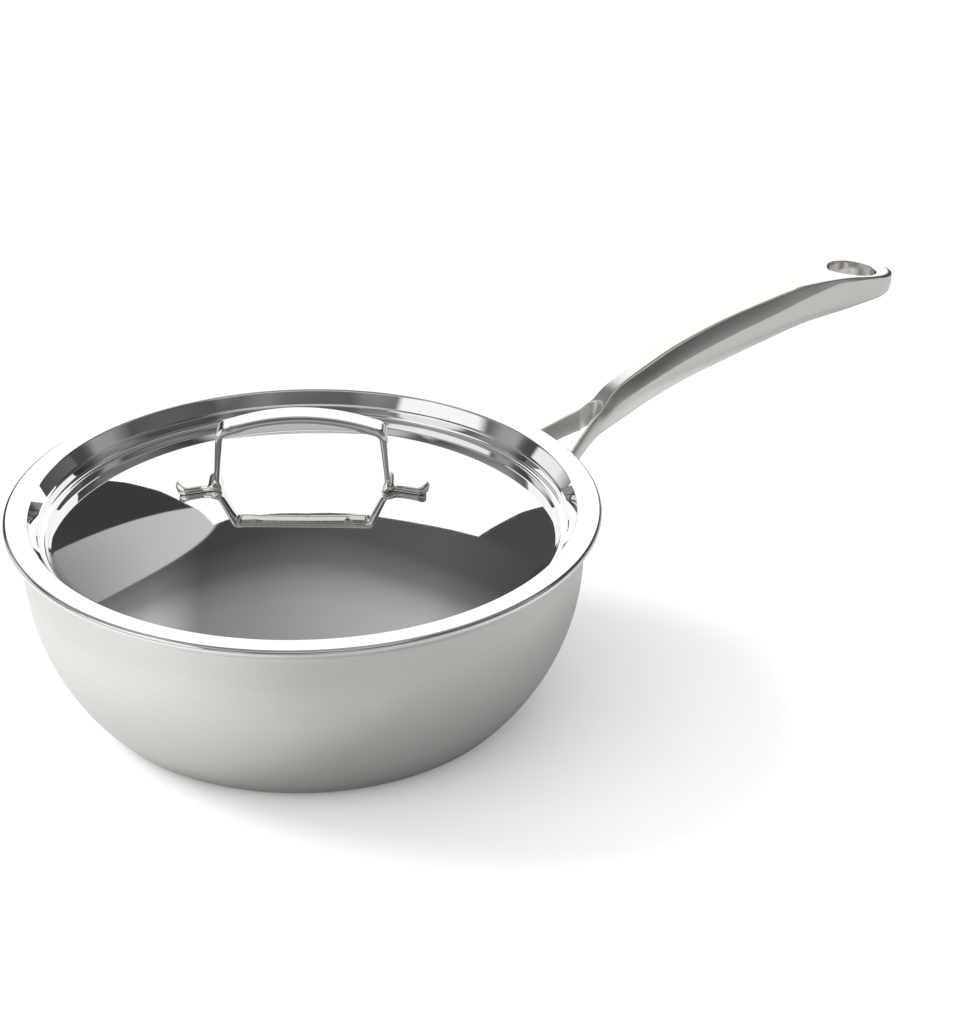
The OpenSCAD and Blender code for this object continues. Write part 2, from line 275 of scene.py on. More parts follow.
# Only reflections see this painted light and shade; the camera sees plain white.
painted_light_and_shade = add(tree, "Mix", {0: rays.outputs["Is Glossy Ray"], 2: 1.0, 3: both_falls.outputs[0]},
          data_type="FLOAT")
reflected = add(tree, "VectorMath", {0: shade.outputs[0], "Scale": painted_light_and_shade.outputs[0]}, operation="SCALE")
paint = add(tree, "Mix", {0: rays.outputs["Is Camera Ray"], 6: reflected.outputs[0],
                          7: (0.97, 0.97, 0.97, 1)}, data_type="RGBA")
matt = add(tree, "BsdfDiffuse", {"Color": paint.outputs[2]})
glow = add(tree, "Emission", {"Color": (1, 1, 1, 1),
                              "Strength": add(tree, "Math", {0: rays.outputs["Is Camera Ray"], 1: GLOW},
                                              operation="MULTIPLY").outputs[0]})
total = add(tree, "AddShader", {0: matt.outputs[0], 1: glow.outputs[0]})
tree.links.new(total.outputs[0], add(tree, "OutputMaterial").inputs[0])

TABLE_HALF = 8.0
table = bpy.data.objects.new("table", bpy.data.meshes.new("table"))
corners_xy = ((-1, -1), (1, -1), (1, 1), (-1, 1))
table.data.from_pydata([(x * TABLE_HALF, y * TABLE_HALF, -0.0002) for x, y in corners_xy],
                       [], [(0, 1, 2, 3)])
table.data.materials.append(table_paint)
bpy.context.scene.collection.objects.link(table)

print("table", 2 * TABLE_HALF, "m wide")

# %% [markdown]
# The shadow falls to the right and a little to the front, because one large lamp stands at the back left. A
# second, very wide one overhead fills it. Metal must not show a lamp as a spot, so their gloss is off.
#
# The white sweep behind the object also has a near part, a real card. A card has depth where a world has
# none, so the lid and the raised long handle see it in different directions. Only reflections see it.

# %% Hang the lamps and the card
LAMP_HEIGHT = 37
LAMP_TURN = -18
for name, energy, width, height in (("window", 1.6, 24, LAMP_HEIGHT), ("ceiling", 1.65, 130, 84)):
    lamp = bpy.data.objects.new(name, bpy.data.lights.new(name, "SUN"))
    lamp.data.energy = energy
    lamp.data.angle = math.radians(width)
    lamp.visible_glossy = False
    lamp.rotation_euler = (math.radians(90 - height), 0, math.radians(LAMP_TURN - LOOK_TURN - 90))
    bpy.context.scene.collection.objects.link(lamp)

card_paint = plain_material("white_card")
tree = card_paint.node_tree
card_light = add(tree, "Emission", {"Color": (1, 1, 1, 1), "Strength": SWEEP})
tree.links.new(card_light.outputs[0], add(tree, "OutputMaterial").inputs[0])
CARD_BACK = 0.40
CARD_EDGE = [(-0.206, 0.09), (0.215, 0.09), (0.211, 0.24), (0.214, 0.30), (0.217, 0.39), (0.185, 0.403),
             (0.094, 0.45), (-0.021, 0.468), (-0.152, 0.451), (-0.176, 0.455), (-0.178, 0.37),
             (-0.182, 0.31), (-0.184, 0.232), (-0.192, 0.161)]
card = bpy.data.objects.new("card", bpy.data.meshes.new("card"))
right_way, back_way = np.array(TO_RIGHT), np.array(TO_BACK)
card.data.from_pydata([(right_way * w + back_way * CARD_BACK + [0, 0, h]).tolist() for w, h in CARD_EDGE],
                      [], [tuple(range(len(CARD_EDGE)))])
card.data.materials.append(card_paint)
card.visible_camera = card.visible_diffuse = card.visible_shadow = False
bpy.context.scene.collection.objects.link(card)
print("lamp", LAMP_HEIGHT, "degrees up, card", CARD_BACK, "m behind the pan's axis")

# %% [markdown]
# ## From arrays to pieces
#
# Each piece is a few grids of points. A grid of m by n points gives (m - 1) by (n - 1) quads, and numpy
# works out all their corners at once. Grids that meet share their border points, so merging doubles makes
# them one closed skin. All points are in millimetres here and become metres in the mesh.

# %% Turn grids into one piece
MM = 0.001
scene_objects = bpy.context.scene.collection.objects


def quads(rows, columns, first):
    """Corner numbers of every quad: point (i, j) has the number first + i * columns + j."""
    i, j = np.meshgrid(np.arange(rows - 1), np.arange(columns - 1), indexing="ij")
    a = first + i * columns + j
    return np.stack([a, a + 1, a + columns + 1, a + columns], axis=-1).reshape(-1, 4)


def piece(name, grids, material, body, slot, sharp=35):
    """Joins grids of (points, uv) into a closed skin with smooth faces and sharp edges over an angle."""
    points, uvs, faces, first = [], [], [], 0
    for p, uv in grids:
        points.append(p.reshape(-1, 3))
        uvs.append(uv.reshape(-1, 2))
        faces.append(quads(*p.shape[:2], first))
        first += p.shape[0] * p.shape[1]
    points, uvs, faces = np.concatenate(points) * MM, np.concatenate(uvs), np.concatenate(faces)
    mesh = bpy.data.meshes.new(name)
    mesh.from_pydata(points.tolist(), [], faces.tolist())
    layer = mesh.uv_layers.new(name="surface")
    layer.data.foreach_set("uv", uvs[faces.ravel()].ravel())
    skin = bmesh.new()
    skin.from_mesh(mesh)
    bmesh.ops.remove_doubles(skin, verts=skin.verts, dist=2e-6)
    bmesh.ops.dissolve_degenerate(skin, edges=skin.edges, dist=1e-6)
    bmesh.ops.recalc_face_normals(skin, faces=skin.faces)
    loose = sum(1 for e in skin.edges if len(e.link_faces) != 2)
    skin.to_mesh(mesh)
    skin.free()
    mesh.shade_smooth()
    mesh.set_sharp_from_angle(angle=math.radians(sharp))
    mesh.materials.append(material)
    made = bpy.data.objects.new(name, mesh)
    scene_objects.link(made)
    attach(made, body)
    print(f"{name}: {len(mesh.polygons)} faces, {loose} open edges")
    return made


def lengths(line):
    """Distance along a line of points from its start, in metres."""
    step = np.linalg.norm(np.diff(line, axis=0), axis=1)
    return np.concatenate([[0], np.cumsum(step)]) * MM


def lathe(profile, steps=288):
    """Turns a line of (radius, height) round Z: x = r cos a, y = r sin a, z = h. u is the share of a turn
    and v is the distance along the line."""
    profile = np.asarray(profile, float)
    a = np.linspace(0, 2 * math.pi, steps + 1)
    r, h = profile[:, :1], profile[:, 1:]
    points = np.stack([r * np.cos(a), r * np.sin(a), h + 0 * a], axis=-1)
    uv = np.stack(np.broadcast_arrays(a[None, :] / (2 * math.pi), lengths(profile)[:, None]), axis=-1)
    return points, uv


def arc(centre, radius, start, end, steps):
    """Points on a circle from one angle to another, in degrees."""
    a = np.radians(np.linspace(start, end, steps + 1))
    return np.stack([centre[0] + radius * np.cos(a), centre[1] + radius * np.sin(a)], axis=-1)


print("a grid of 3 by 4 points has", len(quads(3, 4, 0)), "quads")

# %% [markdown]
# ## Steel and aluminium
#
# All the steel is the same alloy or nearly so, and its colour is close to the reflectance of stainless
# steel. What tells the pieces apart is how they were finished. Belt brushing leaves fine lines that run
# round the pan, so a reflection stays sharp along them and smears across them. Polishing leaves a mirror
# with a faint haze. Casting leaves slow waves under the polish.
#
# The lines follow the surface: their distance is taken from v of the UV map, which counts metres along the
# profile, and x and y only vary them slowly round the pan. Such a pattern has no seam.

# %% Define the finishes
def metal(name, colour, roughness, spread, line_mm, depth_mm, darker=0.94, stretch=0.0, wave_mm=0.0,
          satin_end=None):
    """A metal with fine lines. Lines change the colour a little, the roughness by spread, and the surface
    by depth_mm. wave_mm adds slow waves about 14 mm long. satin_end gives two places along X between which
    the roughness falls by 0.2 to its usual value."""
    made = plain_material(name)
    tree = made.node_tree
    place = add(tree, "TexCoord")
    xyz = add(tree, "SeparateXYZ", {0: place.outputs["Object"]})
    uv = add(tree, "SeparateXYZ", {0: place.outputs["UV"]})
    along_v = add(tree, "Math", {0: uv.outputs["Y"], 1: 1 / (line_mm * MM)}, operation="MULTIPLY")
    slow_x = add(tree, "Math", {0: xyz.outputs["X"], 1: 25.0}, operation="MULTIPLY")
    slow_y = add(tree, "Math", {0: xyz.outputs["Y"], 1: 25.0}, operation="MULTIPLY")
    where = add(tree, "CombineXYZ", {0: slow_x.outputs[0], 1: slow_y.outputs[0], 2: along_v.outputs[0]})
    lines = add(tree, "TexNoise", {"Vector": where.outputs[0], "Scale": 1.0, "Detail": 3.0,
                                   "Roughness": 0.6})
    waves = add(tree, "TexNoise", {"Vector": place.outputs["Object"], "Scale": 1 / 0.014, "Detail": 2.0})
    tint = add(tree, "ValToRGB", {"Fac": lines.outputs["Fac"]})
    full = linear(colour)
    tint.color_ramp.elements[0].position = 0.3
    tint.color_ramp.elements[0].color = (*[c * darker for c in full[:3]], 1)
    tint.color_ramp.elements[1].position = 0.65
    tint.color_ramp.elements[1].color = full
    rough = add(tree, "MapRange", {"Value": lines.outputs["Fac"], "From Min": 0.25, "From Max": 0.75,
                                   "To Min": roughness - spread, "To Max": roughness + spread})
    if satin_end:
        near = add(tree, "MapRange", {"Value": xyz.outputs["X"], "From Min": satin_end[0],
                                      "From Max": satin_end[1], "To Min": 0.2, "To Max": 0.0})
        rough = add(tree, "Math", {0: rough.outputs[0], 1: near.outputs[0]}, operation="ADD")
    height = add(tree, "Math", {0: lines.outputs["Fac"], 1: depth_mm * MM}, operation="MULTIPLY")
    swell = add(tree, "Math", {0: waves.outputs["Fac"], 1: wave_mm * MM, 2: height.outputs[0]},
                operation="MULTIPLY_ADD")
    bump = add(tree, "Bump", {"Height": swell.outputs[0], "Distance": 1.0, "Strength": 1.0})
    tangent = add(tree, "Tangent", direction_type="UV_MAP", uv_map="surface")
    shader = add(tree, "BsdfPrincipled", {"Base Color": tint.outputs[0], "Metallic": 1.0,
                                          "Roughness": rough.outputs[0], "Anisotropic": stretch,
                                          "Anisotropic Rotation": 0.25, "Normal": bump.outputs[0]})
    if stretch:
        tree.links.new(tangent.outputs[0], shader.inputs["Tangent"])
    else:
        tree.nodes.remove(tangent)
    tree.links.new(shader.outputs[0], add(tree, "OutputMaterial").inputs[0])
    return made


STEEL = "#E2E1DE"
brushed_steel = metal("brushed_stainless", STEEL, 0.38, 0.03, 0.5, 0.00015, darker=0.95, stretch=0.5)
satin_steel = metal("satin_stainless", STEEL, 0.32, 0.04, 0.5, 0.0004, stretch=0.5)
mirror_steel = metal("mirror_stainless", "#E8E8E8", 0.03, 0.012, 1.0, 0.0, darker=0.985)
polished_steel = metal("polished_cast_stainless", "#E4E2DE", 0.1, 0.02, 2.0, 0.0, darker=0.97, wave_mm=0.004)
casting_steel = metal("polished_handle_casting", "#E4E2DE", 0.11, 0.02, 2.0, 0.0, darker=0.97, wave_mm=0.004,
                      satin_end=(0.146, 0.172))
cut_aluminium = metal("turned_aluminium", "#E6E6E9", 0.3, 0.05, 0.3, 0.0006, darker=0.9)
weld_steel = metal("dull_weld", "#B9B4AC", 0.45, 0.08, 0.4, 0.004, darker=0.7)
print("finishes:", ", ".join(m.name for m in bpy.data.materials))

# %% [markdown]
# ## The clad bowl
#
# Five sheets are bonded flat and then pressed together, so each ply follows the same line at its own depth
# under the outer face: a flat base, a tight turn, a big round belly that ends in a straight wall, and a
# pouring lip that flares outwards. Turning that line round the axis gives each ply as a thin closed skin.

# %% Turn the five plies
WALL_R, RIM_H, BELLY_R, BELLY_H, CORNER_R, LIP_R = 118.7, 86.3, 95.0, 68.3, 8.0, 5.5
PLIES = {"outer_steel_ply": 0.5, "outer_bond_ply": 0.4, "alloy_core_ply": 1.0, "inner_bond_ply": 0.4,
         "inner_steel_ply": 0.4}
PLY_FINISH = {"outer_steel_ply": (brushed_steel, "brushed_steel"),
              "outer_bond_ply": (cut_aluminium, "bond_aluminium"),
              "alloy_core_ply": (cut_aluminium, "core_aluminium"),
              "inner_bond_ply": (cut_aluminium, "bond_aluminium"),
              "inner_steel_ply": (satin_steel, "satin_steel")}
wall_t = sum(PLIES.values())
lip_x, lip_z = WALL_R + LIP_R, RIM_H - LIP_R - wall_t
corner_a = math.degrees(math.asin((BELLY_H - CORNER_R) / (BELLY_R - CORNER_R)))
base_r = WALL_R - BELLY_R + (BELLY_R - CORNER_R) * math.cos(math.radians(corner_a))


def wall_line(depth):
    """The bowl's line at a depth under its outer face: base, corner, belly and lip."""
    return np.concatenate([
        [[0, depth], [0.5 * base_r, depth]],
        arc((base_r, CORNER_R), CORNER_R - depth, -90, -corner_a, 8),
        arc((WALL_R - BELLY_R, BELLY_H), BELLY_R - depth, -corner_a, 0, 40),
        arc((lip_x, lip_z), LIP_R + depth, 180, 90, 14)])


depth = 0.0
for name, thick in PLIES.items():
    finish, slot = PLY_FINISH[name]
    ply = piece(name + "_skin", [lathe(np.concatenate([wall_line(depth), wall_line(depth + thick)[::-1]]))],
                finish, "pan", slot)
    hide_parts(name)
    depth += thick
print("wall", round(wall_t, 1), "mm thick, base flat", round(2 * base_r), "mm across")

# %% [markdown]
# ## The lid's sheet
#
# The lid is pressed from one sheet: a shallow dome, a groove round it, a stepped wall, a flat flange that
# rests over the rim, and an edge that turns down. The underside is the same line, moved inwards by the
# sheet's thickness along its normals, so the sheet is equally thick everywhere.

# %% Press the lid
LID_R, LID_T, DOME_H, DOME_R, GROOVE_H = 126.0, 0.9, 11.5, 107.3, 10.5
CROWN_BALL, CROWN_R = 231.0, 40.0
LID_Z = RIM_H + 0.3 + LID_T
dome_end = (DOME_R, 0.8 - GROOVE_H)
crown_a = math.asin(CROWN_R / CROWN_BALL)
crown_end = (CROWN_R, DOME_H - CROWN_BALL + CROWN_BALL * math.cos(crown_a))
chord = (dome_end[0] - crown_end[0], dome_end[1] - crown_end[1])
outer_turn = 2 * (math.atan2(-chord[1], chord[0]) - crown_a)
outer_ball = math.hypot(*chord) / (2 * math.sin(outer_turn / 2))
outer_c = (crown_end[0] - outer_ball * math.sin(crown_a), crown_end[1] - outer_ball * math.cos(crown_a))


def bend(a, b, c, radius, steps=8):
    """A corner b between a and c, rounded by a circle: rows of point and left-hand normal."""
    a, b, c = map(np.asarray, (a, b, c))
    u, v = (b - a) / np.linalg.norm(b - a), (c - b) / np.linalg.norm(c - b)
    turned = math.degrees(math.atan2(u[0] * v[1] - u[1] * v[0], u @ v))
    side = math.copysign(1, turned)
    start = b - u * radius * math.tan(math.radians(abs(turned) / 2))
    centre = start + np.array([-u[1], u[0]]) * radius * side
    a0 = math.degrees(math.atan2(*(start - centre)[::-1]))
    p = arc(centre, radius, a0, a0 + turned, steps)
    return np.hstack([p, (centre - p) / radius * side])


def dome_z(r):
    """Height of the dome over the flange at a radius."""
    crown = DOME_H - CROWN_BALL + np.sqrt(CROWN_BALL ** 2 - np.square(r))
    outer = outer_c[1] + np.sqrt(outer_ball ** 2 - (r - outer_c[0]) ** 2)
    return np.where(np.asarray(r) < CROWN_R, crown, outer)


from_top, to_end = 90 - math.degrees(crown_a), 90 - math.degrees(crown_a + outer_turn)
dome = np.concatenate([arc((0, DOME_H - CROWN_BALL), CROWN_BALL, 90, from_top, 22),
                       arc(outer_c, outer_ball, from_top, to_end, 38)[1:]])
dome_n = np.concatenate([arc((0, 0), 1, 90, from_top, 22), arc((0, 0), 1, from_top, to_end, 38)[1:]])
groove_in, groove_out = (DOME_R + 1.5, -GROOVE_H), (110.9, -GROOVE_H)
step_low, step_high, flange_in, flange_out = (111.5, -6.4), (112.3, -5.7), (116, 0), (LID_R, 0)
face = np.concatenate([
    np.hstack([dome, dome_n]),
    bend(dome_end, groove_in, groove_out, 2),
    bend(groove_in, groove_out, step_low, 1.6, 10),
    bend(groove_out, step_low, step_high, 1.2, 8),
    bend(step_low, step_high, flange_in, 0.8, 6),
    bend(step_high, flange_in, flange_out, 1.6, 10),
    bend(flange_in, flange_out, (LID_R, -3), 1.4, 12),
    [[LID_R, -2.2, 1, 0]]])
lid_line = np.concatenate([face[:, :2], (face[:, :2] - LID_T * face[:, 2:])[::-1]])
lid_line[-1, 0] = 0
lid = piece("lid_sheet", [lathe(lid_line + [0, LID_Z], 320)], mirror_steel, "lid", "mirror_steel")
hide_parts("lid_shell")

# %% [markdown]
# ## The lid's strap handle
#
# The strap is one flat bar: a low arch for the fingers, two thin legs, and two feet that turn outwards and
# curl up at their round tips. It is made as a section carried along a path. Two lines in the side view, the
# upper and the lower face, give each section its place and thickness, and a third line gives its width. The
# section is flat on top with crisp edges and round below, like a D lying down, and the feet are flat again.

# %% Draw the strap in the side view
STRAP_H, STRAP_W, STRAP_RISE, STRAP_T, CORNER_X = 43.0, 11.0, 6.5, 4.2, 33.6
LID_TURN = -32
SOLE_GAP = 0.1


def even(line, count):
    """The same line with evenly spaced points."""
    at = lengths(line)
    places = np.linspace(0, at[-1], count)
    return np.stack([np.interp(places, at, line[:, k]) for k in range(line.shape[1])], axis=-1)


arch_r = (CORNER_X ** 2 + STRAP_RISE ** 2) / (2 * STRAP_RISE)
arch_c = (0, STRAP_H - arch_r)
arch_a = math.degrees(math.asin(30 / arch_r))
corner_top, corner_low = (35.4, STRAP_H - 6.6), (32.3, STRAP_H - 10.2)
ankle_out, ankle_in = (36.9, float(dome_z(37)) + 3.1), (34.5, float(dome_z(34)) + 3)
toe_top, toe_tip = (49, float(dome_z(49)) + 3.1), (52.4, float(dome_z(52)) + 5.2)
toe_end, toe_under = (53.4, float(dome_z(52)) + 3.4), (52.2, float(dome_z(52)) + 0.3)
heel = (33.4, float(dome_z(33.4)) + SOLE_GAP)
sole_x = np.linspace(36, 49.5, 14)
sole = np.stack([sole_x, dome_z(sole_x) + SOLE_GAP], axis=-1)
low_arch = arc(arch_c, arch_r - STRAP_T, 90, 90 - 0.72 * arch_a, 20)
corner_in = low_arch[-1] + np.array([3.4, -1.5])


def bent(a, b, c, radius, steps=8):
    return bend(a, b, c, radius, steps)[:, :2]


upper = [even(arc(arch_c, arch_r, 90, 90 - 0.93 * arch_a, 30), 28),
         even(np.concatenate([arc(arch_c, arch_r, 90 - 0.93 * arch_a, 90 - arch_a, 2),
                              bent(arc(arch_c, arch_r, 90 - arch_a, 90, 1)[0], corner_top, ankle_out, 5)]),
                    14),
         even(np.stack([bent((30, 38), corner_top, ankle_out, 5)[-1],
                        bent(corner_top, ankle_out, toe_top, 3.5)[0]]), 12),
         even(bent(corner_top, ankle_out, toe_top, 3.5), 12),
         even(np.concatenate([bent(corner_top, ankle_out, toe_top, 3.5)[-1:],
                              bent(ankle_out, toe_top, toe_tip, 4), [toe_tip]]), 24)]
lower = [even(low_arch, 28),
         even(np.concatenate([low_arch[-1:], bent(low_arch[-1], corner_in, corner_low, 6),
                              bent(corner_in, corner_low, ankle_in, 3.2)]), 14),
         even(np.stack([bent(corner_in, corner_low, ankle_in, 3.2)[-1], ankle_in]), 12),
         even(np.concatenate([[ankle_in], bent(ankle_in, heel, sole[0], 0.8, 6), sole[:1]]), 12),
         even(np.concatenate([sole, bent(sole[-1], toe_under, toe_end, 2.5), [toe_end]]), 24)]
upper, lower = np.concatenate([upper[0]] + [s[1:] for s in upper[1:]]), np.concatenate(
    [lower[0]] + [s[1:] for s in lower[1:]])
print("strap line has", len(upper), "points from the middle to a toe")

# %% [markdown]
# Half of a section is worked out as whole arrays, one row for each place on the path. From the middle of the
# top it runs along the flat, round a small corner, down a side that bulges a little, and round the belly.

# %% Carry the section along the strap
TOE_X, TOE_W = 48.5, 0.42 * STRAP_W
middle = (upper + lower) / 2
rows = np.arange(len(middle))
width = np.interp(rows, [0, 50, 54, 57, 60, 63, 68, 85], [5.5, 5.5, 6.0, 6.8, 6.8, 5.6, 4.8, TOE_W])
toe_half = np.sqrt(np.maximum(TOE_W ** 2 - (middle[:, 0] - TOE_X) ** 2, 0.04))
width = np.where(middle[:, 0] > TOE_X, toe_half, width)
EDGE, BULGE, BELLY = 0.45, 0.8, 4.4
thick = np.linalg.norm(upper - lower, axis=1) / 2
edge = np.minimum(EDGE, 0.4 * np.minimum(thick, width))[:, None]
bulge = np.minimum(BULGE, 0.4 * np.minimum(thick, width))[:, None]
lean = np.arctan2(2 * bulge, thick[:, None] - edge)
turns = np.linspace(1, 0, 5) * (math.pi / 2 - lean) + lean
flat = np.linspace(0, 0.7, 3)
bow = np.linspace(1, 0, 7)[1:]
w, h = width[:, None], thick[:, None]
corner_y = w - bulge - edge * np.cos(lean)
corner_h = h - edge
quarter_y = np.hstack([flat * corner_y, corner_y + edge * np.cos(turns), w - bulge * bow ** 2])
quarter_h = np.hstack([h + 0 * flat, corner_h + edge * np.sin(turns),
                       (corner_h + edge * np.sin(lean)) * bow])
belly = np.minimum(np.interp(rows, [0, 48, 58, 85], [BELLY, BELLY, 0.7, 0.7])[:, None], 0.85 * w)
down = np.linspace(0, math.pi / 2, 12)[1:]
half_y = np.hstack([quarter_y, w - belly + belly * np.cos(down), (w - belly) * flat[::-1] / 0.7])
half_h = np.hstack([quarter_h, -h * np.sin(down), -h + 0 * flat])
side_y = np.hstack([half_y, -half_y[:, -2::-1]])
share = np.hstack([half_h, half_h[:, -2::-1]])
across_bar = (upper - lower) / (2 * h)
half = np.stack([middle[:, :1] + share * across_bar[:, :1], side_y,
                 middle[:, 1:] + share * across_bar[:, 1:]], axis=-1)
tip = np.repeat(half[-1].mean(axis=0)[None, None, :], half.shape[1], axis=1)
half = np.concatenate([half, tip])
strap = np.concatenate([(half * [-1, 1, 1])[:0:-1], half])
a = math.radians(LID_TURN)
spin = np.array([[math.cos(a), -math.sin(a), 0], [math.sin(a), math.cos(a), 0], [0, 0, 1]])
strap = strap @ spin.T + [0, 0, LID_Z]
uv = np.stack(np.broadcast_arrays(np.linspace(0, 0.06, strap.shape[1])[None, :],
                                  lengths(strap[:, 0])[:, None]), axis=-1)
strap = piece("lid_strap", [(strap, uv)], polished_steel, "lid", "polished_steel", sharp=50)
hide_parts("lid_handle")

# %% [markdown]
# The welds between the handles and the sheets are right as they are in the solid model. They only get the
# dull finish of a weld.

# %% Give the welds their finish
for name in ("lid_welds", "handle_welds"):
    welds = frame["nodes"][name].data
    welds.materials.clear()
    welds.materials.append(weld_steel)
    print(name, "is", weld_steel.name)

# %% [markdown]
# ## The long handle
#
# The handle is one casting. It leaves the pan as a fork of two thin prongs, grows into a bar with a flat top
# and a crisp edge on both sides, and ends in a broad round nose with a teardrop hole. It could be cut out of
# a solid bar, but the cuts would leave ragged faces that a polished surface shows at once. Here the skin is
# laid in strips instead, and each strip follows an edge of the real handle.
#
# First come the lines that run from root to nose. A few stations give each line its place, and a smooth
# cubic joins them.

# %% Define the handle's lines
HANDLE_L, NOSE_R, NOSE_INSET, UNDER_INSET = 191.5, 13.3, 5.0, 1.5
STATIONS = np.array([
    # from wall, top, underside, half widths: top, greatest, underside; height share of the greatest
    [-8, -10.6, -17.4, 21.3, 22.6, 21, 0.5],
    [9, -1.3, -9.5, 13.7, 14.9, 13.2, 0.5],
    [21, 5.3, -3.6, 8.4, 9.6, 8.1, 0.5],
    [28, 9, -1, 5.7, 7.2, 6, 0.48],
    [31.2, 11.4, 0.2, 4.9, 7, 5.7, 0.47],
    [35.5, 15.9, 1.7, 4.2, 6.85, 5.4, 0.45],
    [40.5, 19.2, 3.4, 3.8, 6.8, 5.2, 0.44],
    [53, 24.6, 8.4, 3.5, 7.2, 5.4, 0.5],
    [71, 31.8, 14.4, 4, 7.8, 6, 0.46],
    [93, 38, 19.4, 4.8, 8.4, 6.5, 0.47],
    [116, 42.8, 24.4, 6.3, 9.4, 7.5, 0.5],
    [137, 46.7, 28.9, 8.9, 10.9, 9, 0.53],
    [156, 47.5, 31.1, 12, 12.9, 10.9, 0.68],
    [173, 45, 32.7, 12.2, 13.3, 11.6, 0.86],
    [192, 41.8, 34.5, 12.2, 13.3, 11.6, 0.86]])
station_x = STATIONS[:, 0]
slopes = np.empty_like(STATIONS)
slopes[1:-1] = (STATIONS[2:] - STATIONS[:-2]) / (station_x[2:] - station_x[:-2])[:, None]
slopes[0] = (STATIONS[1] - STATIONS[0]) / (station_x[1] - station_x[0])
slopes[-1] = (STATIONS[-1] - STATIONS[-2]) / (station_x[-1] - station_x[-2])


def line(k, x):
    """Column k of the stations at x: a cubic through neighbours with their mean slopes."""
    i = np.clip(np.searchsorted(station_x, x, side="right") - 1, 0, len(station_x) - 2)
    w = station_x[i + 1] - station_x[i]
    t = (x - station_x[i]) / w
    return ((2 * t ** 3 - 3 * t ** 2 + 1) * STATIONS[i, k] + (t ** 3 - 2 * t ** 2 + t) * w * slopes[i, k]
            + (3 * t ** 2 - 2 * t ** 3) * STATIONS[i + 1, k] + (t ** 3 - t ** 2) * w * slopes[i + 1, k])


NOSE_START = HANDLE_L - NOSE_R
S_END = NOSE_START + NOSE_R * math.pi / 2


def side(s, t, upper):
    """A point on the handle's side. s runs along the outline from root to nose. Over the widest line t runs
    from the top edge (0) to it (1), and the side leans out by sin(90 t). Under it t runs on to the
    underside's edge, and the side draws in by the root of 1 - t cubed."""
    s, t = np.broadcast_arrays(np.asarray(s, float), np.asarray(t, float))
    turn_in = np.clip((s - NOSE_START) / NOSE_R, 0, math.pi / 2)
    x = np.minimum(s, NOSE_START) + NOSE_R * np.sin(turn_in)
    round_off = np.cos(turn_in)
    reach = np.maximum(x, 0) / HANDLE_L
    x_top, x_low = x - NOSE_INSET * reach, x - UNDER_INSET * reach
    top, low = line(1, x_top), line(2, x_low)
    a, b, c = line(3, x_top) * round_off, line(4, x) * round_off, line(5, x_low) * round_off
    mid = low + line(6, x) * (top - low)
    if upper:
        out = np.sin(t * math.pi / 2)
        return np.stack([x_top + (x - x_top) * out, a + (b - a) * out, top + (mid - top) * t], axis=-1)
    out = np.sqrt(np.maximum(0, 1 - t ** 3))
    return np.stack([x_low + (x - x_low) * out, c + (b - c) * out, mid + (low - mid) * t], axis=-1)


print("handle", HANDLE_L, "mm from wall to end")

# %% [markdown]
# The crisp edges still have a small radius, as cast and polished edges do. The flat top ends a little inside
# its edge, and a curve whose tangents lie in both faces closes the gap. The plan's lines are the outer
# edge, the fork's gap and the teardrop, each moved sideways by that radius.

# %% Define the plan lines and the edge rounding
ROUND = 0.55
FORK_R, FORK_X, FORK_A = 4.3, 26.5, 24
HOLE_R, HOLE_X, HOLE_L = 10.2, 172.8, 14.5
tear_r = (HOLE_L ** 2 + HOLE_R ** 2) / (2 * HOLE_R)
tear_a = math.degrees(math.asin(HOLE_L / tear_r))


def inner_edge(s, top, move=ROUND):
    """The edge of the flat top or underside at s, moved inwards in plan along its normal."""
    step = 0.05
    at = side(s, 0 if top else 1, top)
    ahead, behind = (side(np.asarray(s) + d, 0 if top else 1, top) for d in (0, -step))
    run = ahead - behind
    n = np.stack([run[..., 1], -run[..., 0]], axis=-1)
    n /= np.linalg.norm(n, axis=-1, keepdims=True)
    x, y = at[..., 0] + n[..., 0] * move, at[..., 1] + n[..., 1] * move
    return np.stack([x, np.maximum(y, 0), line(1 if top else 2, x)], axis=-1)


def curve_in(a, corner, b, steps=4):
    """A quadratic curve from a to b that leaves and arrives in the direction of the corner."""
    u = np.linspace(0, 1, steps + 1)[1:, None, None]
    return (1 - u) ** 2 * a + 2 * u * (1 - u) * corner + u ** 2 * b


def fork_line(p, grow):
    """The gap's edge in plan, grown outwards: straight for p from 0 to 1, the round end from 1 to 2."""
    p = np.asarray(p, float)
    angle = np.radians((90 + FORK_A) * np.clip(2 - p, 0, 1))
    x, y = FORK_X + (FORK_R + grow) * np.cos(angle), (FORK_R + grow) * np.sin(angle)
    back = np.clip(1 - p, 0, 1.5) * 30
    return x - back * math.cos(math.radians(FORK_A)), y + back * math.sin(math.radians(FORK_A))


def hole_line(angle, grow):
    """The teardrop's edge in plan at an angle from its centre, grown outwards."""
    ball = arc((0, 0), HOLE_R + grow, 0, 90, 60)
    cone = arc((0, HOLE_R - tear_r), tear_r + grow, 90, 90 + tear_a, 60)
    point = [[-HOLE_L - grow / math.sin(math.radians(tear_a)), 0]]
    edge = np.concatenate([ball, cone, point])
    at = np.degrees(np.arctan2(edge[:, 1], edge[:, 0]))
    r = np.interp(np.degrees(angle), at, np.linalg.norm(edge, axis=1))
    return HOLE_X + r * np.cos(angle), r * np.sin(angle)


def wall_over(z):
    """Radius of the pan's outer face at a height over the rim, with the gap that the welds fill."""
    up = np.clip(z + RIM_H - lip_z, 0, LIP_R + wall_t)
    round_x = lip_x - np.sqrt(np.maximum(LIP_R ** 2 - np.minimum(up, LIP_R) ** 2, 0))
    return 0.3 + np.where(up < LIP_R, round_x, lip_x)


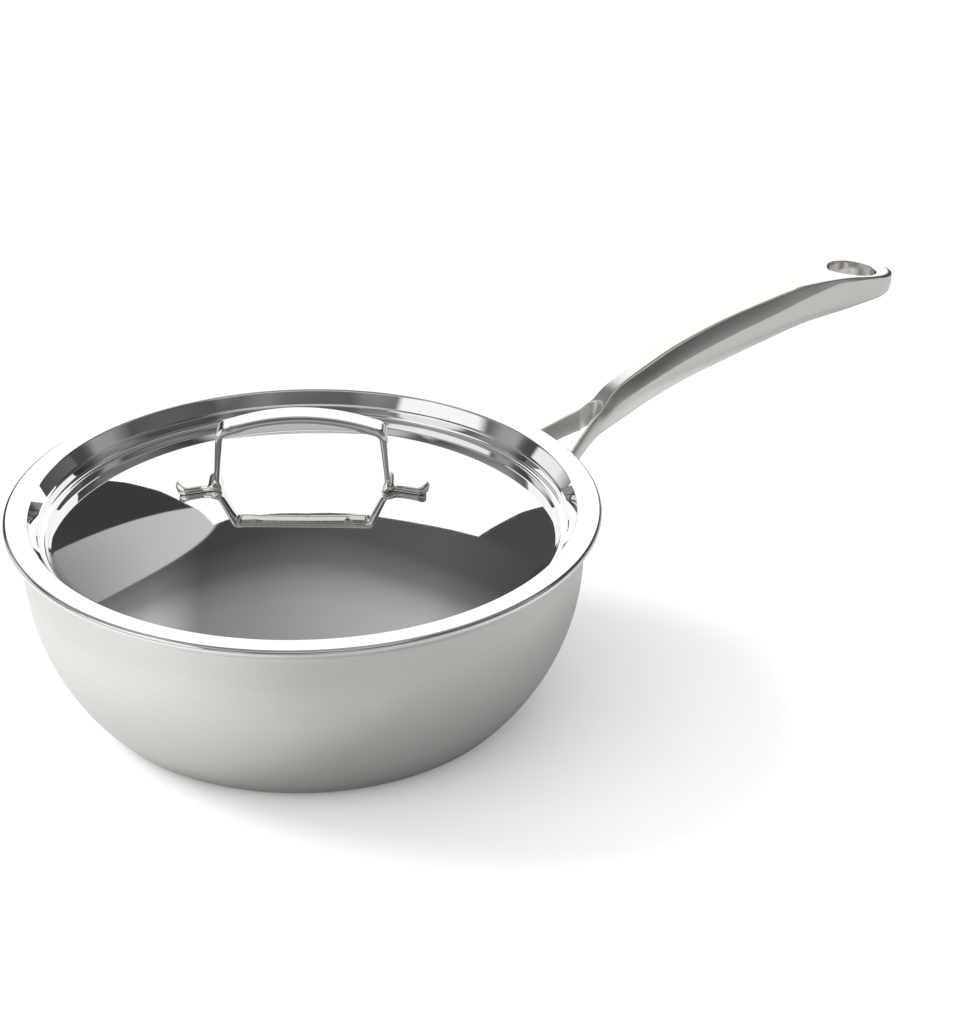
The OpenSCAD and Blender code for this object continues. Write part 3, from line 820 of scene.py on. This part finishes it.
def on_wall(row, low, high):
    """The value at which row(value) meets the pan's wall, by halving the range 40 times."""
    for _ in range(40):
        mid = (low + high) / 2
        p = row(mid)
        inside = np.hypot(WALL_R + p[..., 0], p[..., 1]) < wall_over(p[..., 2])
        low, high = (mid, high) if inside else (low, mid)
    return high


print("teardrop", round(HOLE_R + HOLE_L, 1), "mm long, edges rounded by", ROUND, "mm")

# %% [markdown]
# The strips meet point by point. K values of s run along the outer edge: over the fork, over the bar, and
# round the hole to the nose. The rows of the side, of the fork's inner wall and of the hole's wall each use
# the same values, so that no gap is left between two strips. Only one half is worked out. The other is its
# mirror image.

# %% Define rows of the side, the top and the walls
S_FORK, S_RING = 36.5, 155.0
FORK_DRAFT = 1.2
k_fork = np.linspace(0, 1, 41)
k_bar = np.linspace(S_FORK, S_RING, 100)
k_ring = np.concatenate([np.linspace(S_RING, NOSE_START, 28), np.linspace(NOSE_START, S_END, 32)[1:]])
ACROSS = 8


def side_rows(s_of_row):
    """Rows of the side from the flat top to the underside; s_of_row gives each row its s values."""
    near = 0.08
    rows = [lambda s: inner_edge(s, True)]
    for u in np.linspace(0, 1, 5)[1:]:
        rows.append(lambda s, u=u: (1 - u) ** 2 * inner_edge(s, True) + 2 * u * (1 - u) * side(s, 0, True)
                    + u ** 2 * side(s, near, True))
    rows += [lambda s, t=t: side(s, t, True) for t in np.linspace(near, 1, 9)[1:]]
    rows += [lambda s, t=t: side(s, t, False) for t in 1 - np.linspace(1, 0, 11)[1:] ** 2]
    return np.stack([row(s_of_row(row)) for row in rows])


def plan_grid(outer, inner, top):
    """Straight rows from an outer to an inner line in plan, lifted on the flat top or the underside."""
    u = np.linspace(0, 1, ACROSS + 1)[:, None, None]
    flat = (1 - u) * outer + u * inner
    return np.concatenate([flat[..., :2], line(1 if top else 2, flat[..., :1])], axis=-1)


def lift_plan(x, y, top):
    return np.stack([x, y, line(1 if top else 2, x)], axis=-1)


def wall_rows(plan, steps=14, draft=0.0):
    """A wall from top to underside along a plan line, with both edges rounded. It leans back by draft."""
    high, low = lift_plan(*plan(ROUND + draft), True), lift_plan(*plan(ROUND), False)
    edge_high, edge_low = lift_plan(*plan(draft), True), lift_plan(*plan(0), False)
    drop = np.array([0, 0, ROUND])
    u = np.linspace(0, 1, steps + 1)[:, None, None]
    straight = (1 - u) * (edge_high - drop) + u * (edge_low + drop)
    return np.concatenate([high[None], curve_in(high, edge_high, edge_high - drop), straight[1:],
                           curve_in(edge_low + drop, edge_low, low)])


print("half of the outer edge has", len(k_fork) + len(k_bar) + len(k_ring), "points")

# %% [markdown]
# In the fork every row starts where it meets the pan's wall. A prong is closed there by a cap that blends
# its four borders.

# %% Lay the fork
fork_side = side_rows(lambda row: (lambda s0: s0 + (S_FORK - s0) * k_fork)(on_wall(row, -8.0, 15.0)))
outer_top, outer_low = fork_side[0], fork_side[-1]


def fork_rows(steps=14):
    """The fork's inner wall: each row runs from the pan's wall to the round end."""
    rows = []
    for j in range(steps + 9):
        def row(p, j=j):
            return wall_rows(lambda grow: fork_line(np.atleast_1d(p), grow), steps, FORK_DRAFT)[j]
        p0 = on_wall(lambda p: row(p)[0], -0.4, 0.9)
        p = np.concatenate([p0 + (1 - p0) * k_fork, 1 + np.linspace(0, 1, ACROSS + 1)[1:]])
        rows.append(row(p))
    return np.stack(rows)


fork_wall = fork_rows()
CROSS = np.linspace(1, 0, ACROSS + 1)[1:, None] * [0, 1, 0] + [1, 0, 1]
grids = [fork_side, fork_wall]
for top, outer, row in ((True, outer_top, 0), (False, outer_low, -1)):
    border = np.concatenate([outer, outer[-1] * CROSS])
    grids.append(plan_grid(border, fork_wall[row], top))
top_cap, low_cap = grids[2][:, 0], grids[3][:, 0]
left, right = fork_side[:, 0], fork_wall[:, 0]
u = np.linspace(0, 1, ACROSS + 1)[:, None, None]
v = np.linspace(0, 1, len(left))[None, :, None]
corners = ((1 - u) * (1 - v) * left[0] + u * (1 - v) * right[0] + (1 - u) * v * left[-1] + u * v * right[-1])
cap = (1 - v) * top_cap[:, None] + v * low_cap[:, None] + (1 - u) * left + u * right - corners
grids.append(cap)
print("fork:", len(grids), "strips")

# %% [markdown]
# The bar is plain: two sides, a top and an underside. Round the hole, the border of the flat top is matched
# to the teardrop by its angle from the hole's centre. Then everything is mirrored.

# %% Lay the bar and the ring round the hole
bar_side = side_rows(lambda row: k_bar)
grids.append(bar_side)
for top, edge_row in ((True, bar_side[0]), (False, bar_side[-1])):
    grids.append(plan_grid(edge_row, edge_row * [1, 0, 1], top))
ring_side = side_rows(lambda row: k_ring)
grids.append(ring_side)
for top, edge_row in ((True, ring_side[0]), (False, ring_side[-1])):
    cross = (edge_row[0] * CROSS)[::-1]
    border = np.concatenate([cross, edge_row])
    angle = np.arctan2(border[:, 1], border[:, 0] - HOLE_X)
    angle = math.pi - (math.pi - angle) * (math.pi / (math.pi - angle[-1]))
    if top:
        hole_wall = wall_rows(lambda grow: hole_line(angle, grow))
    grids.append(plan_grid(border, hole_wall[0 if top else -1], top))
grids.append(hole_wall)

strips = []
for p in grids:
    p = p + [WALL_R, 0, RIM_H]
    uv = np.stack([p[..., 0] * 0 + p[..., 1], p[..., 0]], axis=-1) * MM
    strips += [(p, uv), (p * [1, -1, 1], uv)]
print("handle:", len(strips), "strips with their mirror images")

# %% [markdown]
# Each prong ends in a round pad that lies along the wall. The pads are discs bent to the wall's radius, with
# a domed edge, and small projection welds behind them hold the handle. No rivet goes through the pan.

# %% Add the pads
PAD_A, PAD_Z, PAD_R, PAD_T = 9.3, RIM_H - 12.7, 6.6, 2.4
front = np.concatenate([[[0, PAD_T]], [[PAD_R - 1.4, PAD_T]],
                        np.stack([PAD_R - 1.4 + 1.4 * np.sin(np.linspace(0, math.pi / 2, 7)),
                                  PAD_T - 1.4 + 1.4 * np.cos(np.linspace(0, math.pi / 2, 7))], axis=-1),
                        [[PAD_R, 0.3], [0, 0.3]]])
disc, disc_uv = lathe(front, 64)
for sign in (1, -1):
    around = sign * math.radians(PAD_A) + disc[..., 0] / WALL_R
    out = WALL_R + disc[..., 2]
    pad = np.stack([out * np.cos(around), out * np.sin(around), PAD_Z + disc[..., 1]], axis=-1)
    strips.append((pad, disc_uv))
handle = piece("long_handle_casting", strips, casting_steel, "pan", "polished_steel", sharp=50)
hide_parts("long_handle")
